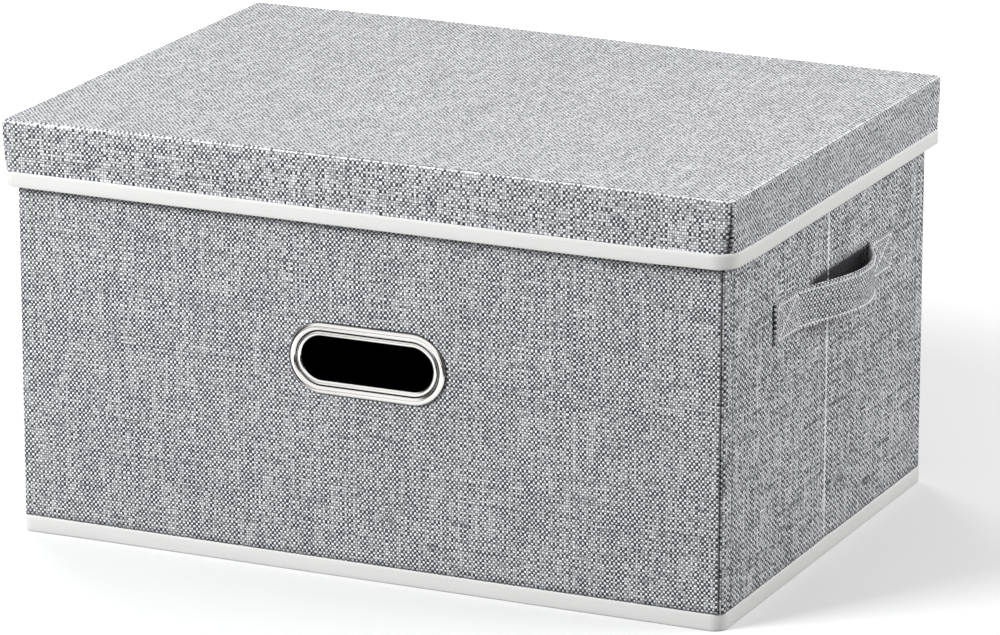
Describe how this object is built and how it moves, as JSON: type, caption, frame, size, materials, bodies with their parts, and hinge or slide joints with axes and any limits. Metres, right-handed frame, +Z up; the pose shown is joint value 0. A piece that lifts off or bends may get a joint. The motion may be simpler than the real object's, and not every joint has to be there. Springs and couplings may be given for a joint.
{
  "type": "fabric storage box",
  "caption": "Collapsible fabric storage box with a lift-off lid, an oval hand hole with a metal grommet, sewn strap handles and a folding base board.",
  "frame": {"origin": "on the floor, under the middle of the box", "axes": "+X along the long side to the right, front wall with the hand hole facing -Y, +Z up"},
  "size_m": [0.478, 0.3222, 0.25],
  "materials": {
    "cover_fabric": "heathered linen-look weave, light and dark grey yarns",
    "lining_fabric": "charcoal non-woven cloth",
    "insert_fabric": "grey non-woven cloth",
    "binding_tape": "white folded binding tape",
    "thread": "light grey sewing thread",
    "cardboard": "greyboard, unprinted",
    "grommet_metal": "bright chromed steel"
  },
  "bodies": {
    "back_wall": {"back_cover": "cover_fabric", "back_board": "cardboard", "back_lining": "lining_fabric", "back_rim_binding": "binding_tape", "floor_cloth": "lining_fabric", "foot_binding": "binding_tape", "insert_rear_board": "cardboard", "insert_rear_sleeve": "insert_fabric"},
    "right_rear_panel": {"right_rear_cover": "cover_fabric", "right_rear_board": "cardboard", "right_rear_lining": "lining_fabric", "right_rear_rim_binding": "binding_tape", "right_handle": "cover_fabric", "right_handle_rear_stitching": "thread"},
    "right_front_panel": {"right_front_cover": "cover_fabric", "right_front_board": "cardboard", "right_front_lining": "lining_fabric", "right_front_rim_binding": "binding_tape", "right_handle_front_stitching": "thread"},
    "front_wall": {"front_cover": "cover_fabric", "front_board": "cardboard", "front_lining": "lining_fabric", "front_rim_binding": "binding_tape", "grommet_front": "grommet_metal", "grommet_back": "grommet_metal"},
    "left_front_panel": {"left_front_cover": "cover_fabric", "left_front_board": "cardboard", "left_front_lining": "lining_fabric", "left_front_rim_binding": "binding_tape", "left_handle_front_stitching": "thread"},
    "left_rear_panel": {"left_rear_cover": "cover_fabric", "left_rear_board": "cardboard", "left_rear_lining": "lining_fabric", "left_rear_rim_binding": "binding_tape", "left_handle": "cover_fabric", "left_handle_rear_stitching": "thread"},
    "insert_front_half": {"insert_front_board": "cardboard", "insert_front_sleeve": "insert_fabric", "insert_pull_tab": "binding_tape"},
    "lid": {"lid_cover": "cover_fabric", "lid_lining": "lining_fabric", "lid_top_board": "cardboard", "lid_front_board": "cardboard", "lid_back_board": "cardboard", "lid_left_board": "cardboard", "lid_right_board": "cardboard", "lid_binding": "binding_tape"}
  },
  "joints": [
    {"name": "wall_fold", "type": "hinge", "parent": "back_wall", "child": "right_rear_panel", "pos_m": [0.2162, 0.148, 0.1275], "axis": [0, 0, -1], "range_deg": [0, 85], "deforming": ["right_handle", "left_handle"]},
    {"name": "right_crease", "type": "hinge", "parent": "right_rear_panel", "child": "right_front_panel", "pos_m": [0.221, 0, 0.1275], "axis": [0, 0, 1], "range_deg": [0, 170]},
    {"name": "right_front_corner", "type": "hinge", "parent": "right_front_panel", "child": "front_wall", "pos_m": [0.2162, -0.148, 0.1275], "axis": [0, 0, -1], "range_deg": [0, 85]},
    {"name": "left_rear_corner", "type": "hinge", "parent": "back_wall", "child": "left_rear_panel", "pos_m": [-0.2162, 0.148, 0.1275], "axis": [0, 0, 1], "range_deg": [0, 85]},
    {"name": "left_crease", "type": "hinge", "parent": "left_rear_panel", "child": "left_front_panel", "pos_m": [-0.221, 0, 0.1275], "axis": [0, 0, -1], "range_deg": [0, 170]},
    {"name": "insert_fold", "type": "hinge", "parent": "back_wall", "child": "insert_front_half", "pos_m": [0, 0, 0.0049], "axis": [-1, 0, 0], "range_deg": [0, 180]},
    {"name": "lid_lift", "type": "slide", "parent": "back_wall", "child": "lid", "axis": [0, 0, 1], "range_m": [0, 0.2]}
  ],
  "couplings": [
    {"joint": "right_crease", "follows": "wall_fold", "ratio": 2},
    {"joint": "right_front_corner", "follows": "wall_fold", "ratio": 1},
    {"joint": "left_rear_corner", "follows": "wall_fold", "ratio": 1},
    {"joint": "left_crease", "follows": "wall_fold", "ratio": 2}
  ]
}
